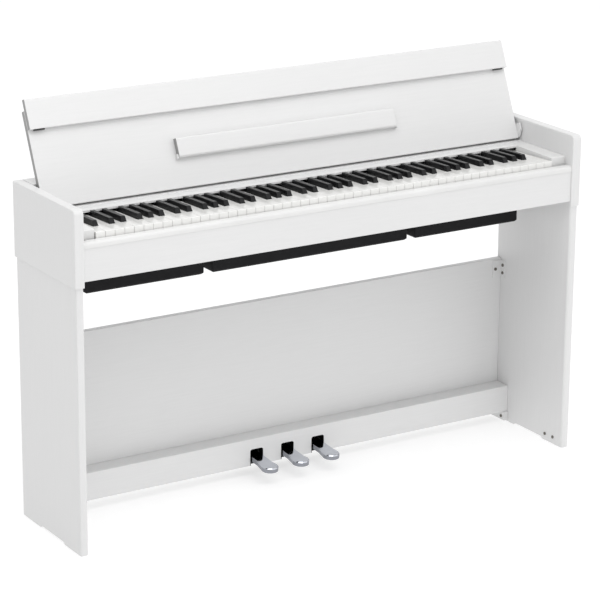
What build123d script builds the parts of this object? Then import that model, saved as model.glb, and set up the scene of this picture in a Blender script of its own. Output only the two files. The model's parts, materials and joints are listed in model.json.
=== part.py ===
# Slim upright digital piano on its own stand, with the key cover open.
#
# Millimetres. X runs along the keyboard with the low notes at -X, the player sits at -Y, and Z is up.
# The origin is on the floor, under the middle of the whole outline with the key cover open.
# The main unit hangs between two side arms. The arms stand on two leg panels, which a back board
# and a low pedal box tie together. The key cover, its folding front flap, the music rest, the
# keys, the pedals and the controls move.
import math
import os

from build123d import *

os.makedirs("parts", exist_ok=True)

# ---------------------------------------------------------------- driving dimensions: cabinet
WIDTH = 1353.0
DEPTH = 296.0
CLOSED_HEIGHT = 792.0
FRONT_Y = -153.5
BACK_Y = FRONT_Y + DEPTH
HALF = WIDTH / 2

ARM_THICK = 24.0
ARM_BOTTOM = 618.0
ARM_NOSE_R = 12.0
INNER = HALF - ARM_THICK  # inner faces of the side arms
FIT = 0.2  # gap where two fixed boards meet

LEG_THICK = 19.5
LEG_INSET = 3.0
LEG_BACK_INSET = 5.0
LEG_REAR_Y = BACK_Y - LEG_BACK_INSET
LEG_FRONT_Y = FRONT_Y + LEG_INSET
LEG_INNER = HALF - LEG_INSET - LEG_THICK
FOOT_RISE = 5.0
FRONT_FOOT_LENGTH = 85.0
REAR_FOOT_LENGTH = 95.0

BACK_BOARD_THICK = 15.0
BACK_BOARD_TOP = 421.0

PEDAL_BOX_FRONT_Y = 76.5
PEDAL_BOX_BOTTOM = 27.0
PEDAL_BOX_TOP = 95.0
BOARD = 12.0  # thickness of the thinner cabinet boards

# ---------------------------------------------------------------- driving dimensions: main unit
BED_BOTTOM = 622.0
BED_TOP = 636.0
BED_FRONT_Y = -120.0
SLIP_BOTTOM = 630.0
SLIP_TOP = 704.0
SLIP_FRONT_Y = -149.0
CAP_TOP = 717.5
CAP_REAR_Y = -129.5

JACK_X0 = -500.0
JACK_X1 = -400.0
JACK_Z0 = 648.0
JACK_Z1 = 678.0

# ---------------------------------------------------------------- driving dimensions: keys
WHITE_PITCH = 23.5
WHITE_COUNT = 52
WHITE_GAP = 0.9
KEY_FRONT_Y = -126.5
KEY_PIVOT_Y = 94.5
KEY_PIVOT_Z = 711.9
KEY_TOP = 720.4  # top of a white key when it lies level
KEY_THICK = 17.0
KEY_REST_TILT = 2.5  # a resting key rises towards the player by this angle
HEAD_LENGTH = 49.5
BLACK_WIDTH = 13.7
BLACK_TOP_WIDTH = 10.0
BLACK_RISE = 12.0
BLACK_SIDE_GAP = 1.2
BLACK_REAR_Y = 19.0
KEY_SHAFT_R = 2.5
KEY_BORE_R = 2.58
KEYBOARD_HALF = WHITE_PITCH * WHITE_COUNT / 2

# ---------------------------------------------------------------- driving dimensions: key cover
LID_THICK = 13.0
LID_HALF = 645.0
LID_FRONT_Y = -135.0
LID_REAR_Y = 84.1
LID_TRAVEL = 113.5
LID_HINGE_Y = 58.0
LID_HINGE_Z = 771.8
LID_PIN_R = 4.0
FLAP_THICK = 11.0
FLAP_BOTTOM = 723.5
FLAP_HINGE_Y = -140.0
FLAP_HINGE_Z = 773.0
REST_HALF = 295.0
REST_LENGTH = 46.0
REST_THICK = 14.0
REST_LOWER_Y = 17.1

# ---------------------------------------------------------------- driving dimensions: pedals
PEDAL_PITCH = 86.0
PEDAL_PIVOT_Y = 106.0
PEDAL_PIVOT_Z = 46.8
PEDAL_SHAFT_R = 4.0
PEDAL_TIP_Y = -5.0
PEDAL_NECK = 30.5
PEDAL_TIP_R = 20.5
PEDAL_THICK = 12.0
PEDAL_DROOP = 4.5
PEDAL_RIM = 2.6  # chamfer round the top of the tip


# ---------------------------------------------------------------- helpers
def block(x0, x1, y0, y1, z0, z1):
    """A box between two corners."""
    return Pos((x0 + x1) / 2, (y0 + y1) / 2, (z0 + z1) / 2) * Box(x1 - x0, y1 - y0, z1 - z0)


def rod_x(x0, x1, y, z, radius):
    """A round rod along X."""
    return Pos((x0 + x1) / 2, y, z) * Rot(0, 90, 0) * Cylinder(radius, x1 - x0)


def rod_z(x, y, z0, z1, radius):
    """An upright round rod."""
    return Pos(x, y, (z0 + z1) / 2) * Cylinder(radius, z1 - z0)


def slab_x(points, x0, x1):
    """The outline points, each (y, z), carried from x0 to x1."""
    face = make_face(Polyline(*points, close=True))
    return Pos(x0, 0, 0) * extrude(Plane.YZ * face, x1 - x0)


def slab_z(points, z0, z1):
    """The outline points, each (x, y), carried from z0 to z1."""
    face = make_face(Polyline(*points, close=True))
    return Pos(0, 0, z0) * extrude(face, z1 - z0)


def mirrored(shape):
    """The same shape on the other end of the piano."""
    return mirror(shape, Plane.YZ)


def turned(shape, y, z, angle):
    """The shape turned about an axis along X through (y, z)."""
    return shape.rotate(Axis((0, y, z), (1, 0, 0)), angle)


def edges_at(shape, axis, **near):
    """The edges along axis whose middle has the given coordinates."""
    wanted = []
    for edge in shape.edges().filter_by(axis):
        middle = edge.center()
        if all(abs(getattr(middle, key) - value) < 0.01 for key, value in near.items()):
            wanted.append(edge)
    return wanted


def group(solids):
    """Several separate solids in one node."""
    return Compound(children=list(solids))


def save(node, shape):
    export_step(shape, f"parts/{node}.step")


# ---------------------------------------------------------------- cabinet
def side_arm():
    arm = block(INNER, HALF, FRONT_Y, BACK_Y, ARM_BOTTOM, CLOSED_HEIGHT)
    arm = fillet(edges_at(arm, Axis.X, Y=FRONT_Y, Z=CLOSED_HEIGHT), ARM_NOSE_R)
    for x in (INNER, HALF):
        arm = fillet(edges_at(arm, Axis.Z, X=x, Y=FRONT_Y), 3.0)
    return arm - rod_x(INNER - 1, INNER + 14, LID_HINGE_Y, LID_HINGE_Z, LID_PIN_R + 0.06)


def leg_panel():
    front_foot = LEG_FRONT_Y + FRONT_FOOT_LENGTH
    rear_foot = LEG_REAR_Y - REAR_FOOT_LENGTH
    outline = [
        (LEG_FRONT_Y, 0),
        (front_foot - 6, 0),
        (front_foot, FOOT_RISE),
        (rear_foot, FOOT_RISE),
        (rear_foot + 6, 0),
        (LEG_REAR_Y, 0),
        (LEG_REAR_Y, ARM_BOTTOM - FIT),
        (LEG_FRONT_Y, ARM_BOTTOM - FIT),
    ]
    leg = slab_x(outline, LEG_INNER, LEG_INNER + LEG_THICK)
    leg = fillet(edges_at(leg, Axis.Z, X=LEG_INNER, Y=LEG_FRONT_Y), 6.0)
    return fillet(edges_at(leg, Axis.Z, X=LEG_INNER + LEG_THICK, Y=LEG_FRONT_Y), 3.0)


def back_board():
    half = LEG_INNER - FIT
    board = block(-half, half, LEG_REAR_Y - BACK_BOARD_THICK, LEG_REAR_Y, PEDAL_BOX_TOP, BACK_BOARD_TOP)
    return chamfer(board.edges().group_by(Axis.Z)[-1].filter_by(Axis.X), 1.0)


def rear_panel():
    """The back of the main unit, with a window for the connector strip."""
    half = INNER - FIT
    panel = block(-half, half, BACK_Y - BOARD, BACK_Y, BED_BOTTOM, CLOSED_HEIGHT - BOARD - 2)
    return panel - block(JACK_X0, JACK_X1, BACK_Y - BOARD - 1, BACK_Y + 1, JACK_Z0, JACK_Z1)


def rear_top_board():
    """Its front edge is undercut for the swing of the key cover, which leans on it when open."""
    underside = CLOSED_HEIGHT - BOARD - 2
    outline = [
        (LID_REAR_Y + 5.2, CLOSED_HEIGHT),
        (LID_REAR_Y + 8.4, underside),
        (BACK_Y, underside),
        (BACK_Y, CLOSED_HEIGHT),
    ]
    return slab_x(outline, -INNER + FIT, INNER - FIT)


def pedal_opening(x):
    """The slot that one pedal comes through, open at the bottom."""
    half = 17.5
    top = 68.0
    slot = block(x - half, x + half, PEDAL_BOX_FRONT_Y - 5, PEDAL_BOX_FRONT_Y + BOARD + 5,
                 PEDAL_BOX_BOTTOM - 5, top)
    return fillet(edges_at(slot, Axis.Y, Z=top), 5.0)


def pedal_box_front():
    half = LEG_INNER - FIT
    board = block(-half, half, PEDAL_BOX_FRONT_Y, PEDAL_BOX_FRONT_Y + BOARD, PEDAL_BOX_BOTTOM, PEDAL_BOX_TOP)
    board = chamfer(edges_at(board, Axis.X, Y=PEDAL_BOX_FRONT_Y, Z=PEDAL_BOX_TOP), 1.0)
    for x in (-PEDAL_PITCH, 0, PEDAL_PITCH):
        board = board - pedal_opening(x)
    return board


def pedal_box_top():
    half = LEG_INNER - FIT
    return block(-half, half, PEDAL_BOX_FRONT_Y + BOARD, LEG_REAR_Y, PEDAL_BOX_TOP - BOARD, PEDAL_BOX_TOP)


def pedal_box_back():
    half = LEG_INNER - FIT
    return block(-half, half, LEG_REAR_Y - BOARD, LEG_REAR_Y, PEDAL_BOX_BOTTOM, PEDAL_BOX_TOP - BOARD)


def foot_bracket():
    """A cleat on the leg that carries one end of the pedal box."""
    cleat = block(LEG_INNER - 14, LEG_INNER, PEDAL_BOX_FRONT_Y - 4, LEG_REAR_Y - 2, 4.0, PEDAL_BOX_BOTTOM)
    return chamfer(edges_at(cleat, Axis.Y, X=LEG_INNER - 14), 2.0)


def corner_bracket():
    """A bent steel plate in the corner between a leg and the back board."""
    board_y = LEG_REAR_Y - BACK_BOARD_THICK
    z0 = 372.0
    z1 = 416.0
    on_leg = block(LEG_INNER - 2, LEG_INNER, board_y - 20, board_y, z0, z1)
    on_board = block(LEG_INNER - 26, LEG_INNER, board_y - 2, board_y, z0, z1)
    return on_leg + on_board


def screw_x(x, y, z):
    """A pan head on a face that looks towards -X, with a cross recess."""
    head = rod_x(x - 2.2, x, y, z, 4.0)
    head = fillet(head.edges().group_by(Axis.X)[0], 1.2)
    for wide, tall in ((4.0, 1.0), (1.0, 4.0)):
        head = head - block(x - 3, x - 1.2, y - wide / 2, y + wide / 2, z - tall / 2, z + tall / 2)
    return head


def screw_y(x, y, z):
    """The same pan head on a face that looks towards the player."""
    return Pos(x, y, z) * Rot(0, 0, 90) * screw_x(0, 0, 0)


def cabinet_screws():
    board_y = LEG_REAR_Y - BACK_BOARD_THICK
    heads = [
        screw_x(LEG_INNER, LEG_FRONT_Y + 68, 17),
        screw_x(LEG_INNER, LEG_FRONT_Y + 36, 18),
        screw_x(LEG_INNER - 14, PEDAL_BOX_FRONT_Y + 6, 15),
        screw_x(LEG_INNER - 2, board_y - 11, 404),
        screw_x(LEG_INNER - 2, board_y - 11, 384),
        screw_y(LEG_INNER - 18, board_y - 2, 394),
    ]
    return group(heads + [mirrored(head) for head in heads])


# ---------------------------------------------------------------- pedals
def pedal_centres():
    return {"soft_pedal": -PEDAL_PITCH, "sostenuto_pedal": 0.0, "damper_pedal": PEDAL_PITCH}


def pedal(x):
    """A flat lever with a wide round tip. It droops a little towards the player."""
    top = PEDAL_PIVOT_Z + PEDAL_THICK / 2
    neck_y = PEDAL_TIP_Y + 2.6 * PEDAL_TIP_R
    tip = Pos(x, PEDAL_TIP_Y + PEDAL_TIP_R) * Circle(PEDAL_TIP_R)
    flare = make_face(Polyline(
        (x - PEDAL_TIP_R, PEDAL_TIP_Y + PEDAL_TIP_R),
        (x - PEDAL_NECK / 2, neck_y),
        (x + PEDAL_NECK / 2, neck_y),
        (x + PEDAL_TIP_R, PEDAL_TIP_Y + PEDAL_TIP_R),
        close=True,
    ))
    neck_length = PEDAL_PIVOT_Y + 8 - neck_y
    neck = Pos(x, neck_y + neck_length / 2) * Rectangle(PEDAL_NECK, neck_length)
    lever = Pos(0, 0, top - PEDAL_THICK) * extrude(tip + flare + neck, PEDAL_THICK)
    lever = chamfer(lever.edges().group_by(Axis.Z)[-1].sort_by(Axis.Y)[:3], PEDAL_RIM)
    lever = turned(lever, PEDAL_PIVOT_Y, PEDAL_PIVOT_Z, PEDAL_DROOP)
    lug = rod_x(x - PEDAL_NECK / 2, x + PEDAL_NECK / 2, PEDAL_PIVOT_Y, PEDAL_PIVOT_Z, 8.0)
    hole = rod_x(x - 20, x + 20, PEDAL_PIVOT_Y, PEDAL_PIVOT_Z, PEDAL_SHAFT_R + 0.06)
    return lever + lug - hole


def pedal_frame():
    """A steel tray under the shaft, with an ear on each side of every pedal."""
    half = PEDAL_PITCH + 34
    tray = block(-half, half, PEDAL_BOX_FRONT_Y + BOARD, LEG_REAR_Y - BOARD, PEDAL_BOX_BOTTOM,
                 PEDAL_BOX_BOTTOM + 2)
    for x in pedal_centres().values():
        for side in (-1, 1):
            middle = x + side * 25
            ear = block(middle - 1.5, middle + 1.5, PEDAL_PIVOT_Y - 9, PEDAL_PIVOT_Y + 9,
                        PEDAL_BOX_BOTTOM, PEDAL_PIVOT_Z + 9)
            tray = tray + ear
    return tray - rod_x(-half, half, PEDAL_PIVOT_Y, PEDAL_PIVOT_Z, PEDAL_SHAFT_R)


def pedal_springs():
    """A wound spring beside each pedal, drawn as the sleeve that its coils fill."""
    coils = []
    for x in pedal_centres().values():
        for side in (-1, 1):
            middle = x + side * 19.4
            sleeve = rod_x(middle - 3.2, middle + 3.2, PEDAL_PIVOT_Y, PEDAL_PIVOT_Z, 6.5)
            coils.append(sleeve - rod_x(middle - 5, middle + 5, PEDAL_PIVOT_Y, PEDAL_PIVOT_Z, 4.4))
    return group(coils)


def pedal_stop_pads():
    """Felt blocks that a fully pressed pedal comes to rest just above."""
    low = PEDAL_BOX_BOTTOM + 2
    pads = [block(x - 10, x + 10, 89.5, 96.5, low, low + 8.0) for x in pedal_centres().values()]
    return group(pads)


# ---------------------------------------------------------------- main unit
def key_bed_board():
    half = INNER - FIT
    bed = block(-half, half, BED_FRONT_Y, BACK_Y - BOARD, BED_BOTTOM, BED_TOP)
    batten = block(-half, half, SLIP_FRONT_Y + BOARD, BED_FRONT_Y, SLIP_BOTTOM + 1, BED_TOP)
    return bed + batten


def key_slip_panel():
    half = INNER - FIT
    panel = block(-half, half, SLIP_FRONT_Y, SLIP_FRONT_Y + BOARD, SLIP_BOTTOM, SLIP_TOP)
    return fillet(edges_at(panel, Axis.X, Y=SLIP_FRONT_Y, Z=SLIP_BOTTOM), 1.5)


def key_slip_cap():
    """The rounded ledge in front of the keys, which the closed flap stands on."""
    half = INNER - FIT
    cap = block(-half, half, SLIP_FRONT_Y - 1.5, CAP_REAR_Y, SLIP_TOP, CAP_TOP)
    cap = fillet(edges_at(cap, Axis.X, Y=SLIP_FRONT_Y - 1.5, Z=CAP_TOP), 7.0)
    return fillet(edges_at(cap, Axis.X, Y=CAP_REAR_Y, Z=CAP_TOP), 1.5)


BUTTON_R = 4.5
POWER_Y = -96.0
FUNCTION_Y = -72.0
BLOCK_MIDDLE = (KEYBOARD_HALF + INNER) / 2
BLOCK_FRONT_Y = -122.5
BLOCK_TOP = 737.0
RAIL_FRONT_Y = 21.5
SLIDER_Y0 = -52.0
SLIDER_TRAVEL = 28.0
SLIDER_LENGTH = 12.0


def key_block():
    """The block that fills the gap between the last key and the side arm."""
    cheek = block(KEYBOARD_HALF + 1.5, INNER - FIT, BLOCK_FRONT_Y, RAIL_FRONT_Y - 0.3, BED_TOP, BLOCK_TOP)
    cheek = fillet(edges_at(cheek, Axis.X, Y=BLOCK_FRONT_Y, Z=BLOCK_TOP), 2.5)
    return fillet(edges_at(cheek, Axis.Y, X=KEYBOARD_HALF + 1.5, Z=BLOCK_TOP), 1.0)


def control_block():
    """The left key block, with two button wells and the slot of the volume slider."""
    cheek = mirrored(key_block())
    for y in (POWER_Y, FUNCTION_Y):
        cheek = cheek - rod_z(-BLOCK_MIDDLE, y, BLOCK_TOP - 10, BLOCK_TOP + 1, BUTTON_R + 0.4)
    slot_end = SLIDER_Y0 + SLIDER_TRAVEL + SLIDER_LENGTH + 1
    slot = block(-BLOCK_MIDDLE - 2, -BLOCK_MIDDLE + 2, SLIDER_Y0 - 1, slot_end, BLOCK_TOP - 10, BLOCK_TOP + 1)
    return cheek - slot


def push_button(y):
    button = rod_z(-BLOCK_MIDDLE, y, BLOCK_TOP - 7, BLOCK_TOP + 2, BUTTON_R)
    return fillet(button.edges().group_by(Axis.Z)[-1], 1.0)


def volume_slider():
    """A low knob on a stem that runs in its slot."""
    y0 = SLIDER_Y0
    y1 = SLIDER_Y0 + SLIDER_LENGTH
    knob = block(-BLOCK_MIDDLE - 5, -BLOCK_MIDDLE + 5, y0, y1, BLOCK_TOP + 0.5, BLOCK_TOP + 7)
    knob = fillet(knob.edges().group_by(Axis.Z)[-1], 1.5)
    stem = block(-BLOCK_MIDDLE - 1.5, -BLOCK_MIDDLE + 1.5, y0 + 3, y1 - 3, BLOCK_TOP - 8, BLOCK_TOP + 1)
    return knob + stem


STOP_Y0 = -112.0  # the channel that stops the pressed keys
STOP_Y1 = -94.0
STOP_Z = 698.0


def key_rail():
    """The rounded rail that hides the rear ends of the keys."""
    rail = block(-INNER + FIT, INNER - FIT, RAIL_FRONT_Y, RAIL_FRONT_Y + 30, 731.0, 737.0)
    return fillet(edges_at(rail, Axis.X, Y=RAIL_FRONT_Y, Z=737.0), 2.0)


def cover_apron():
    """The grey felt-covered board just under the arc of the key cover's rear edge."""
    return block(-INNER + FIT, INNER - FIT, RAIL_FRONT_Y + 30, BACK_Y - BOARD, 734.0, 738.0)


def key_frame():
    """The folded steel base of the keys, with a channel in front and an ear at each end of the shaft."""
    half = KEYBOARD_HALF - 1
    frame = block(-half - 8, half + 8, 22.0, 116.0, BED_TOP, BED_TOP + 2)
    frame = frame + block(-half, half, STOP_Y0, 22.0, BED_TOP, BED_TOP + 2)
    frame = frame + block(-half, half, STOP_Y0, STOP_Y0 + 2, BED_TOP, STOP_Z)
    frame = frame + block(-half, half, STOP_Y1 - 2, STOP_Y1, BED_TOP, STOP_Z)
    frame = frame + block(-half, half, STOP_Y0, STOP_Y1, STOP_Z - 2, STOP_Z)
    for side in (-1, 1):
        near = side * (KEYBOARD_HALF + 1.0)
        far = side * (KEYBOARD_HALF + 6.0)
        frame = frame + block(min(near, far), max(near, far), 84.0, 105.0, BED_TOP, KEY_PIVOT_Z + 8)
    return frame - rod_x(-half - 20, half + 20, KEY_PIVOT_Y, KEY_PIVOT_Z, KEY_SHAFT_R)


def key_stop_felt():
    """The strip that the pressed keys land on."""
    half = KEYBOARD_HALF - 1
    return block(-half, half, STOP_Y0, STOP_Y1, STOP_Z, STOP_Z + 4.3)


def sound_box(x0, x1, driver_x=None):
    """A shallow case under the key bed, open at the top where the bed closes it."""
    y0 = -26.5
    y1 = 98.5
    z0 = 560.0
    wall = 4.0
    case = block(x0, x1, y0, y1, z0, BED_BOTTOM - 0.3)
    case = chamfer(case.edges().group_by(Axis.Z)[0], 5.0)
    case = fillet(case.edges().filter_by(Axis.Z), 3.0)
    case = case - block(x0 + wall, x1 - wall, y0 + wall, y1 - wall, z0 + wall, BED_BOTTOM)
    if driver_x is not None:
        case = case - rod_z(driver_x, (y0 + y1) / 2, z0 - 1, z0 + wall + 1, 48.0)
    return case


SPEAKER_X0 = 287.0
SPEAKER_X1 = 588.0
SPEAKER_MIDDLE = (SPEAKER_X0 + SPEAKER_X1) / 2


def speaker_driver():
    """A shallow cone driver that faces the floor, set in the bottom of its case."""
    y = 36.0
    ring = rod_z(SPEAKER_MIDDLE, y, 564.0, 568.0, 55.0) - rod_z(SPEAKER_MIDDLE, y, 563.0, 569.0, 44.0)
    cone = Pos(SPEAKER_MIDDLE, y, 576.0) * (Cone(44.5, 16.0, 16.0) - Pos(0, 0, -1.5) * Cone(44.5, 16.0, 16.0))
    magnet = rod_z(SPEAKER_MIDDLE, y, 583.0, 612.0, 28.0)
    return ring + cone + magnet


def main_board():
    """The circuit board in the middle case."""
    return block(-190, 190, -14, 86, 570.0, 571.6)


def jack_panel():
    """The connector strip at the back: three round sockets and a square data socket."""
    middle_z = (JACK_Z0 + JACK_Z1) / 2
    y1 = BACK_Y - 1.0
    strip = block(JACK_X0 + FIT, JACK_X1 - FIT, BACK_Y - BOARD, y1, JACK_Z0 + FIT, JACK_Z1 - FIT)
    for step, radius in ((0, 2.8), (1, 3.2), (2, 3.2)):
        well = Pos(JACK_X0 + 16 + 22 * step, y1, middle_z) * Rot(90, 0, 0) * Cylinder(radius, 16)
        strip = strip - well
    data_x = JACK_X0 + 82
    return strip - block(data_x - 6, data_x + 6, y1 - 8, y1 + 1, middle_z - 5.5, middle_z + 5.5)


# ---------------------------------------------------------------- keys
def black_offsets():
    """The middle of each black key from the left edge of its octave."""
    return {
        1: 1 * WHITE_PITCH - 2.6,
        3: 2 * WHITE_PITCH + 2.6,
        6: 4 * WHITE_PITCH - 3.6,
        8: 5 * WHITE_PITCH,
        10: 6 * WHITE_PITCH + 3.6,
    }


WHITE_STEP = {0: 0, 2: 1, 4: 2, 5: 3, 7: 4, 9: 5, 11: 6}
OCTAVE = 7 * WHITE_PITCH
FIRST_OCTAVE_X = -KEYBOARD_HALF - 5 * WHITE_PITCH  # left edge of the octave that A0 belongs to
KEY_REAR_Y = KEY_PIVOT_Y + 4.0
KEY_BOTTOM = KEY_TOP - KEY_THICK


def key_bore(x):
    return rod_x(x - 15, x + 15, KEY_PIVOT_Y, KEY_PIVOT_Z, KEY_BORE_R)


def rested(shape):
    """A key built level, raised at the front to its rest position."""
    return turned(shape, KEY_PIVOT_Y, KEY_PIVOT_Z, -KEY_REST_TILT)


def white_key(x0, left_cut, right_cut):
    """A white key whose left edge is x0; the cuts are the sides of its narrow rear part."""
    left = x0 + WHITE_GAP / 2
    right = x0 + WHITE_PITCH - WHITE_GAP / 2
    shoulder = KEY_FRONT_Y + HEAD_LENGTH
    tail_left = left if left_cut is None else left_cut
    tail_right = right if right_cut is None else right_cut
    outline = [(left, KEY_FRONT_Y), (right, KEY_FRONT_Y)]
    if right_cut is not None:
        outline.append((right, shoulder))
        outline.append((tail_right, shoulder))
    outline.append((tail_right, KEY_REAR_Y))
    outline.append((tail_left, KEY_REAR_Y))
    if left_cut is not None:
        outline.append((tail_left, shoulder))
        outline.append((left, shoulder))
    key = slab_z(outline, KEY_BOTTOM, KEY_TOP)
    key = fillet(edges_at(key, Axis.X, Y=KEY_FRONT_Y, Z=KEY_TOP), 1.2)
    return rested(key - key_bore((tail_left + tail_right) / 2))


def black_key(middle):
    """A black key: a tapered cap with a slanted front, on a stick that reaches back to the shaft."""
    front = KEY_FRONT_Y + HEAD_LENGTH + 1.2
    top = KEY_TOP + BLACK_RISE
    foot = KEY_TOP - 3
    wide = BLACK_WIDTH / 2
    narrow = BLACK_TOP_WIDTH / 2
    lower = Pos(middle, (front + BLACK_REAR_Y) / 2, foot) * Rectangle(2 * wide, BLACK_REAR_Y - front)
    upper_front = front + 6.5
    upper_middle = Pos(middle, (upper_front + BLACK_REAR_Y) / 2, top)
    upper = upper_middle * Rectangle(2 * narrow, BLACK_REAR_Y - upper_front)
    cap = loft([lower.face(), upper.face()])
    cap = fillet(cap.edges().group_by(Axis.Z)[-1], 1.2)
    stick = block(middle - 5.5, middle + 5.5, front + 1, KEY_REAR_Y, KEY_BOTTOM, foot + 0.5)
    return rested(cap + stick - key_bore(middle))


def keyboard():
    """The 88 keys in pitch order, as (pitch class, solid)."""
    offsets = black_offsets()
    reach = BLACK_WIDTH / 2 + BLACK_SIDE_GAP
    left_black = {2: 1, 4: 3, 7: 6, 9: 8, 11: 10}
    right_black = {0: 1, 2: 3, 5: 6, 7: 8, 9: 10}
    first = 9
    keys = []
    for number in range(first, first + 88):
        octave_x = FIRST_OCTAVE_X + (number // 12) * OCTAVE
        pitch = number % 12
        if pitch in offsets:
            keys.append((pitch, black_key(octave_x + offsets[pitch])))
            continue
        left_cut = None
        right_cut = None
        if pitch in left_black and number != first:
            left_cut = octave_x + offsets[left_black[pitch]] + reach
        if pitch in right_black and number != first + 87:
            right_cut = octave_x + offsets[right_black[pitch]] - reach
        keys.append((pitch, white_key(octave_x + WHITE_STEP[pitch] * WHITE_PITCH, left_cut, right_cut)))
    return keys


PITCH_NAMES = ["c", "c_sharp", "d", "d_sharp", "e", "f", "f_sharp", "g", "g_sharp", "a", "a_sharp", "b"]


# ---------------------------------------------------------------- key cover, flap and music rest
# These are drawn with the cover closed and are then opened to the rest position.
LID_UNDER = CLOSED_HEIGHT - LID_THICK
FLAP_HINGES_X = (-480.0, 0.0, 480.0)
FLAP_HINGE_HALF = 24.0
FLAP_PIN_R = 1.5


def opened(shape):
    return turned(shape, LID_HINGE_Y, LID_HINGE_Z, -LID_TRAVEL)


def folded(shape):
    """Swings the flap from the upright front face to the inner face of the cover."""
    return turned(shape, FLAP_HINGE_Y, FLAP_HINGE_Z, 90)


def lid_panel():
    panel = block(-LID_HALF, LID_HALF, LID_FRONT_Y, LID_REAR_Y, LID_UNDER, CLOSED_HEIGHT)
    panel = fillet(panel.edges().filter_by(Axis.X), 1.5)
    return opened(panel)


def lid_hinge_brackets():
    """The end plates of the cover, each with the pin that turns in the side arm."""
    outline = [
        (LID_HINGE_Y - 9, LID_HINGE_Z - 7),
        (LID_HINGE_Y + 8, LID_HINGE_Z - 7),
        (LID_REAR_Y - 2, LID_UNDER - 1),
        (LID_REAR_Y - 2, CLOSED_HEIGHT - 2),
        (LID_HINGE_Y - 9, CLOSED_HEIGHT - 2),
    ]
    plate = slab_x(outline, LID_HALF, LID_HALF + 5)
    plate = plate + rod_x(LID_HALF, INNER + 12, LID_HINGE_Y, LID_HINGE_Z, LID_PIN_R)
    plate = opened(plate)
    return group([plate, mirrored(plate)])


def lid_flap():
    """The strip that hangs in front of the keys when the cover is shut."""
    front = LID_FRONT_Y - 0.5 - FLAP_THICK
    rear = LID_FRONT_Y - 0.5
    strip = block(-LID_HALF, LID_HALF, front, rear, FLAP_BOTTOM, CLOSED_HEIGHT)
    strip = fillet(edges_at(strip, Axis.X, Y=front, Z=CLOSED_HEIGHT), 4.0)
    strip = fillet(edges_at(strip, Axis.X, Y=front, Z=FLAP_BOTTOM), 1.5)
    for x in FLAP_HINGES_X:
        half = FLAP_HINGE_HALF
        pocket = block(x - half, x + half, front + 1.6, rear + 1, FLAP_HINGE_Z - 10, FLAP_HINGE_Z + 10)
        strip = strip - pocket
        strip = strip - rod_x(x - half - 8, x + half + 8, FLAP_HINGE_Y, FLAP_HINGE_Z, FLAP_PIN_R)
    return opened(folded(strip))


def flap_hinge_leaves():
    """The knuckles on the cover, each with a thin plate on the cover's inner face."""
    leaves = []
    for x in FLAP_HINGES_X:
        half = FLAP_HINGE_HALF - 1
        plate = block(x - half, x + half, LID_FRONT_Y, LID_FRONT_Y + 26, LID_UNDER - 1.1, LID_UNDER)
        web = slab_x([
            (LID_FRONT_Y + 1.5, LID_UNDER - 1.1),
            (LID_FRONT_Y + 1.5, LID_UNDER),
            (LID_FRONT_Y, LID_UNDER),
            (FLAP_HINGE_Y - 1.5, FLAP_HINGE_Z + 1.5),
            (FLAP_HINGE_Y + 1.5, FLAP_HINGE_Z - 1.5),
        ], x - half, x + half)
        knuckle = rod_x(x - half, x + half, FLAP_HINGE_Y, FLAP_HINGE_Z, 3.2)
        bore = rod_x(x - half - 1, x + half + 1, FLAP_HINGE_Y, FLAP_HINGE_Z, FLAP_PIN_R + 0.06)
        leaves.append(opened(plate + web + knuckle - bore))
    return group(leaves)


def flap_hinge_pins():
    reach = FLAP_HINGE_HALF + 8
    pins = [rod_x(x - reach, x + reach, FLAP_HINGE_Y, FLAP_HINGE_Z, FLAP_PIN_R) for x in FLAP_HINGES_X]
    return group([opened(folded(pin)) for pin in pins])


def flap_bumpers():
    """Soft strips on the lower edge of the flap, near its ends."""
    y0 = LID_FRONT_Y - 8.5
    strips = []
    for x0, x1 in ((-634.0, -608.0), (608.0, 634.0)):
        strips.append(opened(folded(block(x0, x1, y0, y0 + 6, FLAP_BOTTOM - 3, FLAP_BOTTOM))))
    return group(strips)


REST_PIVOT_Y = REST_LOWER_Y - 4.0
REST_PIVOT_Z = LID_UNDER - 7.0


def music_rest():
    """A bar that lies on the cover and swings out to hold the sheets."""
    bar = block(-REST_HALF, REST_HALF, REST_LOWER_Y - REST_LENGTH, REST_LOWER_Y,
                LID_UNDER - 0.5 - REST_THICK, LID_UNDER - 0.5)
    bar = fillet(edges_at(bar, Axis.X, Y=REST_LOWER_Y), 6.0)
    bar = fillet(edges_at(bar, Axis.X, Y=REST_LOWER_Y - REST_LENGTH, Z=LID_UNDER - 0.5 - REST_THICK), 5.0)
    for side in (-1, 1):
        a = side * (REST_HALF - 12)
        b = side * (REST_HALF + 1)
        bar = bar - rod_x(min(a, b), max(a, b), REST_PIVOT_Y, REST_PIVOT_Z, 2.06)
    return opened(bar)


def music_rest_brackets():
    """A small ear at each end of the music rest, with its pin."""
    ear = slab_x([
        (REST_PIVOT_Y - 6, LID_UNDER),
        (REST_PIVOT_Y - 5, REST_PIVOT_Z - 4),
        (REST_PIVOT_Y + 5, REST_PIVOT_Z - 4),
        (REST_PIVOT_Y + 6, LID_UNDER),
    ], REST_HALF + 0.5, REST_HALF + 4)
    ear = ear + rod_x(REST_HALF - 11, REST_HALF + 4, REST_PIVOT_Y, REST_PIVOT_Z, 2.0)
    ear = opened(ear)
    return group([ear, mirrored(ear)])


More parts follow.
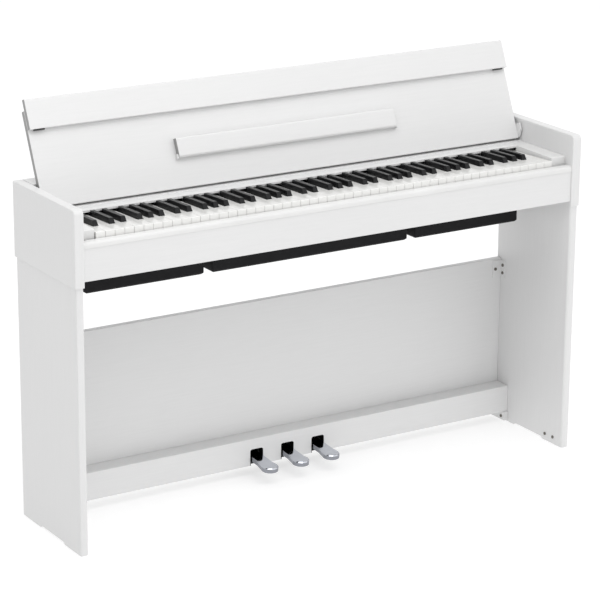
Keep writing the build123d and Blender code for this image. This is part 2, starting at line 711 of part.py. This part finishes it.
# ---------------------------------------------------------------- write the nodes
save("side_arm_right", side_arm())
save("side_arm_left", mirrored(side_arm()))
save("leg_panel_right", leg_panel())
save("leg_panel_left", mirrored(leg_panel()))
save("back_board", back_board())
save("rear_panel", rear_panel())
save("rear_top_board", rear_top_board())
save("pedal_box_front", pedal_box_front())
save("pedal_box_top", pedal_box_top())
save("pedal_box_back", pedal_box_back())
save("foot_brackets", group([foot_bracket(), mirrored(foot_bracket())]))
save("corner_brackets", group([corner_bracket(), mirrored(corner_bracket())]))
save("cabinet_screws", cabinet_screws())

for name, centre in pedal_centres().items():
    save(name, pedal(centre))
save("pedal_frame", pedal_frame())
save("pedal_shaft", rod_x(-PEDAL_PITCH - 30, PEDAL_PITCH + 30, PEDAL_PIVOT_Y, PEDAL_PIVOT_Z, PEDAL_SHAFT_R))
save("pedal_springs", pedal_springs())
save("pedal_stop_pads", pedal_stop_pads())

save("key_bed_board", key_bed_board())
save("key_slip_panel", key_slip_panel())
save("key_slip_cap", key_slip_cap())
save("key_block_left", control_block())
save("key_block_right", key_block())
save("power_button", push_button(POWER_Y))
save("function_button", push_button(FUNCTION_Y))
save("volume_slider", volume_slider())
save("key_rail", key_rail())
save("cover_apron", cover_apron())
save("key_frame", key_frame())
save("key_shaft", rod_x(-KEYBOARD_HALF - 5, KEYBOARD_HALF + 5, KEY_PIVOT_Y, KEY_PIVOT_Z, KEY_SHAFT_R))
save("key_stop_felt", key_stop_felt())
save("speaker_box_left", mirrored(sound_box(SPEAKER_X0, SPEAKER_X1, SPEAKER_MIDDLE)))
save("speaker_box_right", sound_box(SPEAKER_X0, SPEAKER_X1, SPEAKER_MIDDLE))
save("electronics_box", sound_box(-266.0, 266.0))
save("speaker_drivers", group([speaker_driver(), mirrored(speaker_driver())]))
save("main_board", main_board())
save("jack_panel", jack_panel())

all_keys = keyboard()
for pitch_class, pitch_name in enumerate(PITCH_NAMES):
    save(f"keys_{pitch_name}", group([solid for pitch, solid in all_keys if pitch == pitch_class]))

save("lid_panel", lid_panel())
save("lid_hinge_brackets", lid_hinge_brackets())
save("lid_flap", lid_flap())
save("flap_hinge_leaves", flap_hinge_leaves())
save("flap_hinge_pins", flap_hinge_pins())
save("flap_bumpers", flap_bumpers())
save("music_rest", music_rest())
save("music_rest_brackets", music_rest_brackets())
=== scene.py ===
import json
import math

import bmesh
import bpy
from mathutils import Matrix, Vector


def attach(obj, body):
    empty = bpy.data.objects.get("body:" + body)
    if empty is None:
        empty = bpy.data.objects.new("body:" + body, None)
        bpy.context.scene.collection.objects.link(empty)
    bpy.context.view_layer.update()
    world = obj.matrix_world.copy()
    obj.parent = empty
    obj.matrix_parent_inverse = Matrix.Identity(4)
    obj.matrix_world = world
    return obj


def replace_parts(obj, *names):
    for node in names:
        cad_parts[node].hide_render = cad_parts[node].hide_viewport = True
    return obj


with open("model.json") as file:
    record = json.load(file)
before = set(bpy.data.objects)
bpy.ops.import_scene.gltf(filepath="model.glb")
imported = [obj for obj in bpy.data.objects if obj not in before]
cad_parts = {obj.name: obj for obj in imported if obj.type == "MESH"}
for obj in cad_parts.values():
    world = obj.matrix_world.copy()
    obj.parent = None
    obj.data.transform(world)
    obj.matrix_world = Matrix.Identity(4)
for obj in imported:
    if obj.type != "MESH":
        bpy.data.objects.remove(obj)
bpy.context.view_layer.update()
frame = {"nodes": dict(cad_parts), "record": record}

NODES = frame["nodes"]
MM = 0.001


# ---------------------------------------------------------------- node helpers
class Tree:
    """A material's node tree around one Principled shader."""

    def __init__(self, name):
        self.material = bpy.data.materials.new(name)
        self.material.use_nodes = True
        self.tree = self.material.node_tree
        self.shader = self.tree.nodes["Principled BSDF"]
        self.coords = self.add("ShaderNodeTexCoord").outputs["Object"]

    def add(self, kind, **values):
        node = self.tree.nodes.new(kind)
        for key, value in values.items():
            setattr(node, key, value)
        return node

    def link(self, output, target):
        self.tree.links.new(output, target)

    def stretched(self, scale):
        mapping = self.add("ShaderNodeMapping")
        mapping.inputs["Scale"].default_value = scale
        self.link(self.coords, mapping.inputs["Vector"])
        return mapping.outputs["Vector"]

    def noise(self, scale, detail=3.0, rough=0.5, vector=None):
        node = self.add("ShaderNodeTexNoise")
        node.inputs["Scale"].default_value = scale
        node.inputs["Detail"].default_value = detail
        node.inputs["Roughness"].default_value = rough
        self.link(vector or self.coords, node.inputs["Vector"])
        return node.outputs["Fac"]

    def spread(self, value, low, high, start=0.3, end=0.7):
        node = self.add("ShaderNodeMapRange")
        node.inputs["From Min"].default_value = start
        node.inputs["From Max"].default_value = end
        node.inputs["To Min"].default_value = low
        node.inputs["To Max"].default_value = high
        self.link(value, node.inputs["Value"])
        return node.outputs["Result"]

    def ramp(self, value, stops):
        node = self.add("ShaderNodeValToRGB")
        ramp = node.color_ramp
        while len(ramp.elements) < len(stops):
            ramp.elements.new(0.5)
        for element, (place, colour) in zip(ramp.elements, stops):
            element.position = place
            element.color = (*colour, 1)
        self.link(value, node.inputs["Fac"])
        return node.outputs["Color"]

    def bump(self, value, strength, distance, under=None):
        node = self.add("ShaderNodeBump")
        node.inputs["Strength"].default_value = strength
        node.inputs["Distance"].default_value = distance
        self.link(value, node.inputs["Height"])
        if under is not None:
            self.link(under, node.inputs["Normal"])
        return node.outputs["Normal"]


def shaded(colour, by):
    return tuple(max(0.0, part * by) for part in colour)


def lacquer(name, colour, along, rough=0.42):
    """White foil over board: long faint grain along one axis, fine pores and an even satin coat."""
    t = Tree(name)
    scale = [34.0, 34.0, 34.0]
    scale["xyz".index(along)] = 1.6
    grain_space = t.stretched(scale)
    grain = t.noise(7.0, detail=6.0, rough=0.62, vector=grain_space)
    cloud = t.noise(2.2, detail=2.0)
    colour_grain = t.ramp(grain, [(0.30, shaded(colour, 0.985)), (0.70, shaded(colour, 1.012))])
    colour_cloud = t.ramp(cloud, [(0.30, (0.985, 0.985, 0.985)), (0.70, (1, 1, 1))])
    both = t.add("ShaderNodeMix", data_type="RGBA", blend_type="MULTIPLY")
    both.inputs["Factor"].default_value = 1.0
    t.link(colour_grain, both.inputs["A"])
    t.link(colour_cloud, both.inputs["B"])
    t.link(both.outputs["Result"], t.shader.inputs["Base Color"])
    t.link(t.spread(grain, rough - 0.05, rough + 0.06), t.shader.inputs["Roughness"])
    pores = t.bump(t.noise(30.0, detail=4.0, vector=grain_space), 0.10, 0.00012)
    t.link(t.bump(t.noise(420.0, detail=2.0), 0.06, 0.00008, pores), t.shader.inputs["Normal"])
    t.shader.inputs["Specular IOR Level"].default_value = 0.4
    return t.material


def moulded(name, colour, rough, grain_scale, depth, coat=0.0, vary=0.03, gloss=0.5):
    """Moulded plastic: an even tone, fine surface grain and slightly uneven gloss."""
    t = Tree(name)
    tone = t.noise(9.0, detail=3.0)
    t.link(t.ramp(tone, [(0.3, shaded(colour, 1 - vary)), (0.7, shaded(colour, 1 + vary))]),
           t.shader.inputs["Base Color"])
    t.link(t.spread(t.noise(60.0, detail=3.0), rough - 0.04, rough + 0.05), t.shader.inputs["Roughness"])
    t.link(t.bump(t.noise(grain_scale, detail=2.0), 0.35, depth), t.shader.inputs["Normal"])
    t.shader.inputs["Specular IOR Level"].default_value = gloss
    t.shader.inputs["Coat Weight"].default_value = coat
    t.shader.inputs["Coat Roughness"].default_value = 0.06
    return t.material


def metal(name, colour, rough, brushed=None):
    """Bare or plated metal, polished or brushed along one axis."""
    t = Tree(name)
    t.shader.inputs["Metallic"].default_value = 1.0
    scale = [260.0, 260.0, 260.0]
    if brushed:
        scale["xyz".index(brushed)] = 6.0
    lines = t.noise(3.0, detail=5.0, vector=t.stretched(scale))
    smudge = t.noise(24.0, detail=4.0)
    t.link(t.ramp(smudge, [(0.3, shaded(colour, 0.93)), (0.7, shaded(colour, 1.04))]),
           t.shader.inputs["Base Color"])
    t.link(t.spread(smudge, rough * 0.75, rough * 1.35), t.shader.inputs["Roughness"])
    t.link(t.bump(lines, 0.12 if brushed else 0.03, 0.00005), t.shader.inputs["Normal"])
    return t.material


def felt(name, colour):
    """Pressed felt with a short soft nap."""
    t = Tree(name)
    fibre = t.noise(900.0, detail=5.0, rough=0.7)
    tuft = t.noise(160.0, detail=3.0)
    t.link(t.ramp(fibre, [(0.3, shaded(colour, 0.6)), (0.7, shaded(colour, 1.35))]),
           t.shader.inputs["Base Color"])
    t.link(t.spread(tuft, 0.85, 1.0), t.shader.inputs["Roughness"])
    t.link(t.bump(fibre, 0.5, 0.0003), t.shader.inputs["Normal"])
    t.shader.inputs["Sheen Weight"].default_value = 0.35
    return t.material


def circuit(name):
    """Green solder mask with faint copper tracks."""
    t = Tree(name)
    wave = t.add("ShaderNodeTexWave", wave_type="BANDS", bands_direction="DIAGONAL")
    wave.inputs["Scale"].default_value = 60.0
    t.link(t.coords, wave.inputs["Vector"])
    t.link(t.ramp(wave.outputs["Fac"], [(0.45, (0.015, 0.10, 0.04)), (0.6, (0.03, 0.19, 0.08))]),
           t.shader.inputs["Base Color"])
    t.link(t.spread(t.noise(50.0), 0.3, 0.45), t.shader.inputs["Roughness"])
    return t.material


WHITE = (0.75, 0.75, 0.75)
WARM_WHITE = (0.84, 0.837, 0.82)
LOOKS = {
    "board_x": lacquer("white_lacquer_long", WHITE, "x"),
    "board_z": lacquer("white_lacquer_upright", WHITE, "z"),
    "board_y": lacquer("white_lacquer_deep", WHITE, "y"),
    "cap": moulded("satin_white_cap", (0.75, 0.75, 0.745), 0.34, 700.0, 0.00005),
    "white_key": moulded("white_key_plastic", WARM_WHITE, 0.20, 900.0, 0.00002, coat=0.35, vary=0.008),
    "black_key": moulded("black_key_plastic", (0.006, 0.006, 0.007), 0.30, 1500.0, 0.00010, vary=0.12,
                         gloss=0.32),
    "case": moulded("black_case_plastic", (0.008, 0.008, 0.009), 0.60, 1100.0, 0.00014, vary=0.10,
                    gloss=0.16),
    # the pedal frame's own near-black plastic; on the pedal housing and slot trims it is painted shade
    "dark": moulded("dark_plastic_and_painted_shade", (0.003, 0.003, 0.003), 0.80, 700.0, 0.00014, vary=0.10,
                    gloss=0.1),
    # painted shade: a darker grey for the end faces of the lid, flap and music rest, which face away
    # from the light
    "end_painted_shade": moulded("painted_shade_end_grey", (0.30, 0.30, 0.30), 0.45, 800.0, 0.00008),
    "plastic": moulded("white_fitting_plastic", (0.72, 0.72, 0.72), 0.40, 900.0, 0.00008),
    "pedal": metal("polished_pedal_metal", (0.66, 0.68, 0.73), 0.09),
    # painted reflection: a darker, satin copy of the pedal metal for all faces but the top, standing in
    # for the shaded floor they reflect
    "pedal_painted_reflection": metal("satin_pedal_painted_reflection", (0.30, 0.31, 0.34), 0.18),
    "steel": metal("zinc_plated_steel", (0.62, 0.63, 0.64), 0.32, brushed="x"),
    "screw": metal("screw_steel", (0.20, 0.19, 0.17), 0.38),
    "felt": felt("charcoal_felt", (0.035, 0.035, 0.038)),
    "grey_felt": felt("grey_felt", (0.82, 0.82, 0.82)),
    "red_felt": felt("red_felt", (0.30, 0.02, 0.03)),
    "rubber": moulded("black_rubber", (0.05, 0.05, 0.05), 0.75, 600.0, 0.00015),
    "board": circuit("green_circuit_board"),
    "paper": felt("cone_paper", (0.02, 0.02, 0.02)),
}

LOOK_OF = {
    "board_x": ["back_board", "rear_panel", "rear_top_board", "pedal_box_front", "pedal_box_top",
                "pedal_box_back", "key_bed_board", "key_slip_panel", "lid_panel", "lid_flap",
                "music_rest", "key_rail"],
    "board_z": ["side_arm_left", "side_arm_right", "leg_panel_left", "leg_panel_right"],
    "board_y": ["foot_brackets", "corner_brackets"],
    "cap": ["key_slip_cap", "key_block_left", "key_block_right"],
    "case": ["speaker_box_left", "speaker_box_right", "electronics_box", "jack_panel"],
    "plastic": ["lid_hinge_brackets", "music_rest_brackets", "power_button", "function_button",
                "volume_slider"],
    "pedal": ["soft_pedal", "sostenuto_pedal", "damper_pedal"],
    "screw": ["cabinet_screws"],
    "steel": ["pedal_shaft", "pedal_springs", "key_frame", "key_shaft", "flap_hinge_leaves",
              "flap_hinge_pins"],
    "dark": ["pedal_frame"],
    "felt": ["pedal_stop_pads"],
    "grey_felt": ["cover_apron"],
    "red_felt": ["key_stop_felt"],
    "rubber": ["flap_bumpers"],
    "board": ["main_board"],
    "paper": ["speaker_drivers"],
}
for pitch in ("c", "d", "e", "f", "g", "a", "b"):
    LOOK_OF.setdefault("white_key", []).append(f"keys_{pitch}")
    if pitch not in "eb":
        LOOK_OF.setdefault("black_key", []).append(f"keys_{pitch}_sharp")
LOOK = {node: look for look, nodes in LOOK_OF.items() for node in nodes}
BODY = {node: body for body, nodes in frame["record"]["behaviour"]["bodies"].items() for node in nodes}


def paint(obj, look):
    obj.data.materials.clear()
    obj.data.materials.append(LOOKS[look])


# ---------------------------------------------------------------- mesh helpers
def new_piece(name, bm, look, body):
    mesh = bpy.data.meshes.new(name)
    bm.to_mesh(mesh)
    bm.free()
    mesh.shade_smooth()
    obj = bpy.data.objects.new(name, mesh)
    bpy.context.scene.collection.objects.link(obj)
    paint(obj, look)
    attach(obj, body)
    return obj


def keep_edges_crisp(obj, angle=40):
    obj.data.set_sharp_from_angle(angle=math.radians(angle))
    weighted = obj.modifiers.new("weighted", "WEIGHTED_NORMAL")
    weighted.keep_sharp = True
    weighted.weight = 80


def bevelled(bm, width):
    """Round every sharp edge of bm by width, in millimetres."""
    sharp_angle = math.radians(38)
    edges = [e for e in bm.edges if len(e.link_faces) == 2 and e.calc_face_angle(0) > sharp_angle]
    bmesh.ops.bevel(bm, geom=edges, offset=width * MM, offset_type="OFFSET", segments=2, profile=0.5,
                    affect="EDGES", clamp_overlap=True)


def second_look(obj, look, chosen):
    """Give the faces that chosen(normal) picks another material."""
    obj.data.materials.append(LOOKS[look])
    for face in obj.data.polygons:
        if chosen(face.normal):
            face.material_index = 1


def softened(node, width):
    """The node's shape with its sharp edges broken by a small round, as sanded or moulded edges are."""
    bm = bmesh.new()
    bm.from_mesh(NODES[node].data)
    bmesh.ops.remove_doubles(bm, verts=bm.verts, dist=2e-6)
    bmesh.ops.dissolve_limit(bm, angle_limit=math.radians(0.6), verts=bm.verts, edges=bm.edges)
    bevelled(bm, width)
    obj = new_piece(node + "_finished", bm, LOOK[node], BODY[node])
    keep_edges_crisp(obj)
    # the end faces get a darker grey that paints the shade they are in
    if node in SHADED_ENDS:
        second_look(obj, "end_painted_shade", lambda normal: abs(normal.x) > 0.95)  # the ends, painted darker as shade
    if LOOK[node] == "pedal":
        second_look(obj, "pedal_painted_reflection", lambda normal: normal.z < 0.3)  # all but the top, a darker copy of the metal as a painted reflection of the shaded floor
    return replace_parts(obj, node)


SHADED_ENDS = ("lid_panel", "lid_flap", "music_rest")  # boards whose end faces get a painted grey shade
WHITE_KEY_EDGE = 0.4
BLACK_KEY_EDGE = 0.45
EDGE = {  # how far each piece's edges are rounded, in millimetres
    "side_arm_left": 1.0, "side_arm_right": 1.0, "leg_panel_left": 0.9, "leg_panel_right": 0.9,
    "back_board": 0.6, "rear_panel": 0.6, "rear_top_board": 0.8, "pedal_box_front": 0.6,
    "pedal_box_top": 0.6, "pedal_box_back": 0.6, "key_slip_panel": 0.6, "key_slip_cap": 0.6,
    "key_block_left": 0.35,
    "key_block_right": 0.6, "key_rail": 0.4, "lid_panel": 0.8, "lid_flap": 0.8, "music_rest": 0.8,
    "speaker_box_left": 0.9, "speaker_box_right": 0.9, "electronics_box": 0.9, "foot_brackets": 0.6,
    "lid_hinge_brackets": 0.4, "corner_brackets": 0.3, "power_button": 0.25, "function_button": 0.25,
    "volume_slider": 0.3, "key_bed_board": 0.6, "soft_pedal": 0.5, "sostenuto_pedal": 0.5,
    "damper_pedal": 0.5,
}
for name in LOOK:
    if name in EDGE:
        softened(name, EDGE[name])
    elif name.startswith("keys_"):
        softened(name, BLACK_KEY_EDGE if name.endswith("sharp") else WHITE_KEY_EDGE)
    else:
        paint(NODES[name], LOOK[name])


# ---------------------------------------------------------------- pedal housing: near-black walls behind the slots, painted shade inside the pedal box
def add_box(bm, low, high):
    """A box in bm between two corners, in millimetres."""
    x0, y0, z0 = (value * MM for value in low)
    x1, y1, z1 = (value * MM for value in high)
    corners = [(x0, y0, z0), (x1, y0, z0), (x1, y1, z0), (x0, y1, z0),
               (x0, y0, z1), (x1, y0, z1), (x1, y1, z1), (x0, y1, z1)]
    verts = [bm.verts.new(corner) for corner in corners]
    for order in ((0, 3, 2, 1), (4, 5, 6, 7), (0, 1, 5, 4), (1, 2, 6, 5), (2, 3, 7, 6), (3, 0, 4, 7)):
        bm.faces.new([verts[index] for index in order])


SHADE_HOUSING_WALLS = (  # top, rear, left and right walls, as opposite corners
    ((-124, 88.9, 80.6), (124, 125.2, 82.6)),
    ((-124, 123.2, 29.3), (124, 125.2, 80.6)),
    ((-124, 88.9, 29.3), (-121.5, 123.2, 80.6)),
    ((121.5, 88.9, 29.3), (124, 123.2, 80.6)),
)
SHADE_HOUSING_EDGE = 0.3
# near-black walls that paint the shade seen through the pedal slots
shade_housing = bmesh.new()
for low, high in SHADE_HOUSING_WALLS:
    add_box(shade_housing, low, high)
bevelled(shade_housing, SHADE_HOUSING_EDGE)
keep_edges_crisp(new_piece("pedal_housing_painted_shade", shade_housing, "dark", "cabinet"))


# ---------------------------------------------------------------- trims that line the three pedal slots, near-black as painted shade on the slot walls
SLOT_BOTTOM = 27.2
TRIM_OUTER = (17.45, 67.95, 5.0)  # half width, top and corner radius
TRIM_INNER = (16.6, 67.1, 4.2)
TRIM_FRONT_Y = 76.2
TRIM_REAR_Y = 88.6
PEDAL_MIDDLES = ((-86.0, "soft"), (0.0, "sostenuto"), (86.0, "damper"))


def slot_outline(middle, half, top, corner, steps=5):
    """A slot's open outline with two round corners, from lower left to lower right, in millimetres."""
    points = [(middle - half, SLOT_BOTTOM)]
    for side, start in ((-1, 180), (1, 90)):
        centre_x = middle + side * (half - corner)
        for step in range(steps + 1):
            angle = math.radians(start - 90 * step / steps)
            points.append((centre_x + corner * math.cos(angle), top - corner + corner * math.sin(angle)))
    points.append((middle + half, SLOT_BOTTOM))
    return points


def slot_shade_trim(middle, name):
    bm = bmesh.new()
    outer = slot_outline(middle, *TRIM_OUTER)
    inner = slot_outline(middle, *TRIM_INNER)
    rings = []
    for y in (TRIM_FRONT_Y, TRIM_REAR_Y):
        rings.append([[bm.verts.new((x * MM, y * MM, z * MM)) for x, z in line]
                      for line in (outer, inner)])
    (front_out, front_in), (rear_out, rear_in) = rings
    for i in range(len(outer) - 1):
        bm.faces.new((front_out[i], front_out[i + 1], front_in[i + 1], front_in[i]))
        bm.faces.new((rear_out[i + 1], rear_out[i], rear_in[i], rear_in[i + 1]))
        bm.faces.new((front_in[i], front_in[i + 1], rear_in[i + 1], rear_in[i]))
        bm.faces.new((front_out[i + 1], front_out[i], rear_out[i], rear_out[i + 1]))
    for i in (0, -1):
        bm.faces.new((front_out[i], front_in[i], rear_in[i], rear_out[i]))
    bmesh.ops.recalc_face_normals(bm, faces=bm.faces)
    keep_edges_crisp(new_piece(name, bm, "dark", "cabinet"))


# each slot gets a thin near-black trim, painted shade on the slot walls
for middle, pedal_name in PEDAL_MIDDLES:
    slot_shade_trim(middle, pedal_name + "_pedal_slot_shade_trim")


# ---------------------------------------------------------------- speaker grilles, screws at the back
GRILLE_X = 437.5
GRILLE_Y = 36.0
GRILLE_RADII = (8, 16, 24, 32, 40, 46.5)
GRILLE_RADIUS = GRILLE_RADII[-1]
RING_HALF = 1.0
RIM_HALF = 1.4
RING_Z = (560.4, 562.4)
SPOKE_HALF = 0.9
SPOKE_Z = (560.6, 562.2)
SPOKE_COUNT = 6


def ring_band(bm, centre, radius, half_width, z0, z1, steps=64):
    """A flat ring around centre, (x, y), with a rectangular section."""
    loops = []
    for step in range(steps):
        angle = 2 * math.pi * step / steps
        loop = []
        for reach, z in ((radius - half_width, z0), (radius + half_width, z0), (radius + half_width, z1),
                         (radius - half_width, z1)):
            loop.append(bm.verts.new(((centre[0] + reach * math.cos(angle)) * MM,
                                      (centre[1] + reach * math.sin(angle)) * MM, z * MM)))
        loops.append(loop)
    for i, loop in enumerate(loops):
        after = loops[(i + 1) % steps]
        for j in range(4):
            bm.faces.new((loop[j], after[j], after[(j + 1) % 4], loop[(j + 1) % 4]))


def speaker_grille(side, name):
    """Rings and spokes over a driver's opening in the bottom of its case."""
    centre = (side * GRILLE_X, GRILLE_Y)
    bm = bmesh.new()
    for radius in GRILLE_RADII:
        ring_band(bm, centre, radius, RING_HALF if radius < GRILLE_RADIUS else RIM_HALF, *RING_Z)
    for step in range(SPOKE_COUNT):
        angle = math.pi * step / SPOKE_COUNT
        spoke = bmesh.new()
        add_box(spoke, (-GRILLE_RADIUS, -SPOKE_HALF, SPOKE_Z[0]),
                (GRILLE_RADIUS, SPOKE_HALF, SPOKE_Z[1]))
        turn = Matrix.Translation((centre[0] * MM, centre[1] * MM, 0)) @ Matrix.Rotation(angle, 4, "Z")
        bmesh.ops.transform(spoke, matrix=turn, verts=spoke.verts)
        mesh = bpy.data.meshes.new("spoke")
        spoke.to_mesh(mesh)
        spoke.free()
        bm.from_mesh(mesh)
        bpy.data.meshes.remove(mesh)
    bmesh.ops.recalc_face_normals(bm, faces=bm.faces)
    keep_edges_crisp(new_piece(name, bm, "case", "cabinet"))


SCREW_PROFILE = ((3.6, 0.0), (3.5, 0.7), (2.8, 1.2), (1.5, 1.4), (1.4, 0.6))  # radius and rise
SOCKET_RISE = 0.5


def rear_screw(bm, x, z, y, steps=20):
    """A domed screw head with a round socket, facing away from the player."""
    turns = [2 * math.pi * i / steps for i in range(steps)]
    loops = []
    for radius, rise in SCREW_PROFILE:
        loops.append([bm.verts.new(((x + radius * math.cos(turn)) * MM, (y + rise) * MM,
                                    (z + radius * math.sin(turn)) * MM)) for turn in turns])
    for low, high in zip(loops, loops[1:]):
        for i in range(steps):
            j = (i + 1) % steps
            bm.faces.new((low[i], low[j], high[j], high[i]))
    tip = bm.verts.new((x * MM, (y + SOCKET_RISE) * MM, z * MM))
    for i in range(steps):
        bm.faces.new((loops[-1][i], loops[-1][(i + 1) % steps], tip))
    bm.faces.new(loops[0])


REAR_PANEL_Y = 142.5  # rear faces of the main unit and of the stand
STAND_REAR_Y = 137.5
PANEL_SCREWS = [(x, z) for x in (-630, -378, -126, 126, 378, 630) for z in (634, 766)]
STAND_SCREWS = [(x, 41) for x in (-632, -210, 210, 632)]
STAND_SCREWS += [(x, z) for x in (-632, 632) for z in (120, 260, 400)]
speaker_grille(-1, "speaker_grille_left")
speaker_grille(1, "speaker_grille_right")
rear_screws = bmesh.new()
for x, z in PANEL_SCREWS:
    rear_screw(rear_screws, x, z, REAR_PANEL_Y)
for x, z in STAND_SCREWS:
    rear_screw(rear_screws, x, z, STAND_REAR_Y)
bmesh.ops.recalc_face_normals(rear_screws, faces=rear_screws.faces)
keep_edges_crisp(new_piece("rear_screws", rear_screws, "screw", "cabinet"))


# ---------------------------------------------------------------- floor, light and camera
FLOOR_HALF = 60.0
FLOOR_DROP = 0.0005  # keeps the floor just under the feet
FLOOR_GLOW = 0.60
BASS_LIGHT = 0.58  # strength of the sky from the bass end and from the treble end
TREBLE_LIGHT = 1.12
CAMERA_PLACE = (-3.04281, -4.85227, 2.24320)
CAMERA_ANGLES = (31.9628, 17.4162, 0.4316)  # yaw, pitch down and roll, in degrees
CAMERA_LENS = 154.234


def floor():
    bm = bmesh.new()
    bmesh.ops.create_grid(bm, x_segments=8, y_segments=8, size=FLOOR_HALF)
    mesh = bpy.data.meshes.new("studio_floor")
    bm.to_mesh(mesh)
    bm.free()
    obj = bpy.data.objects.new("studio_floor", mesh)
    obj.location = (0, 0, -FLOOR_DROP)
    bpy.context.scene.collection.objects.link(obj)
    t = Tree("pale_floor")
    t.link(t.ramp(t.noise(0.7), [(0.3, (0.49, 0.49, 0.49)), (0.7, (0.51, 0.51, 0.51))]),
           t.shader.inputs["Base Color"])
    t.shader.inputs["Roughness"].default_value = 0.9
    t.shader.inputs["Specular IOR Level"].default_value = 0.0
    t.shader.inputs["Emission Color"].default_value = (1, 1, 1, 1)
    t.shader.inputs["Emission Strength"].default_value = FLOOR_GLOW
    obj.data.materials.append(t.material)


def area_light(name, place, target, size, power):
    data = bpy.data.lights.new(name, "AREA")
    data.shape = "RECTANGLE"
    data.size, data.size_y = size
    data.energy = power
    obj = bpy.data.objects.new(name, data)
    obj.location = place
    obj.rotation_mode = "QUATERNION"
    obj.rotation_quaternion = (Vector(target) - Vector(place)).to_track_quat("-Z", "Y")
    bpy.context.scene.collection.objects.link(obj)


def daylight():
    world = bpy.data.worlds.new("studio")
    world.use_nodes = True
    background = world.node_tree.nodes["Background"]
    nodes, links = world.node_tree.nodes, world.node_tree.links
    direction = nodes.new("ShaderNodeTexCoord")
    split = nodes.new("ShaderNodeSeparateXYZ")
    side_light = nodes.new("ShaderNodeMapRange")
    side_light.inputs["From Min"].default_value = -1.0
    side_light.inputs["To Min"].default_value = BASS_LIGHT
    side_light.inputs["To Max"].default_value = TREBLE_LIGHT
    links.new(direction.outputs["Generated"], split.inputs["Vector"])
    links.new(split.outputs["X"], side_light.inputs["Value"])
    background.inputs["Color"].default_value = (1, 1, 1, 1)
    links.new(side_light.outputs["Result"], background.inputs["Strength"])
    bpy.context.scene.world = world
    bpy.context.scene.view_settings.view_transform = "Standard"


def camera():
    data = bpy.data.cameras.new("camera")
    data.sensor_width = 36.0
    data.lens = CAMERA_LENS
    data.clip_start = 0.1
    data.clip_end = 200.0
    obj = bpy.data.objects.new("camera", data)
    yaw, pitch, roll = (math.radians(angle) for angle in CAMERA_ANGLES)
    forward = Vector((math.sin(yaw) * math.cos(pitch), math.cos(yaw) * math.cos(pitch),
                      -math.sin(pitch)))
    level = Vector((math.cos(yaw), -math.sin(yaw), 0))
    upward = level.cross(forward)
    right = level * math.cos(roll) + upward * math.sin(roll)
    up = upward * math.cos(roll) - level * math.sin(roll)
    turn = Matrix((right, up, -forward)).transposed()
    obj.matrix_world = Matrix.Translation(CAMERA_PLACE) @ turn.to_4x4()
    bpy.context.scene.collection.objects.link(obj)
    bpy.context.scene.camera = obj


floor()
daylight()
area_light("key_light", (1.8, -3.4, 3.2), (0, 0, 0.5), (2.4, 2.4), 3)
area_light("top_light", (-0.6, -1.1, 3.4), (0, 0, 0.7), (3.0, 1.6), 36)
camera()
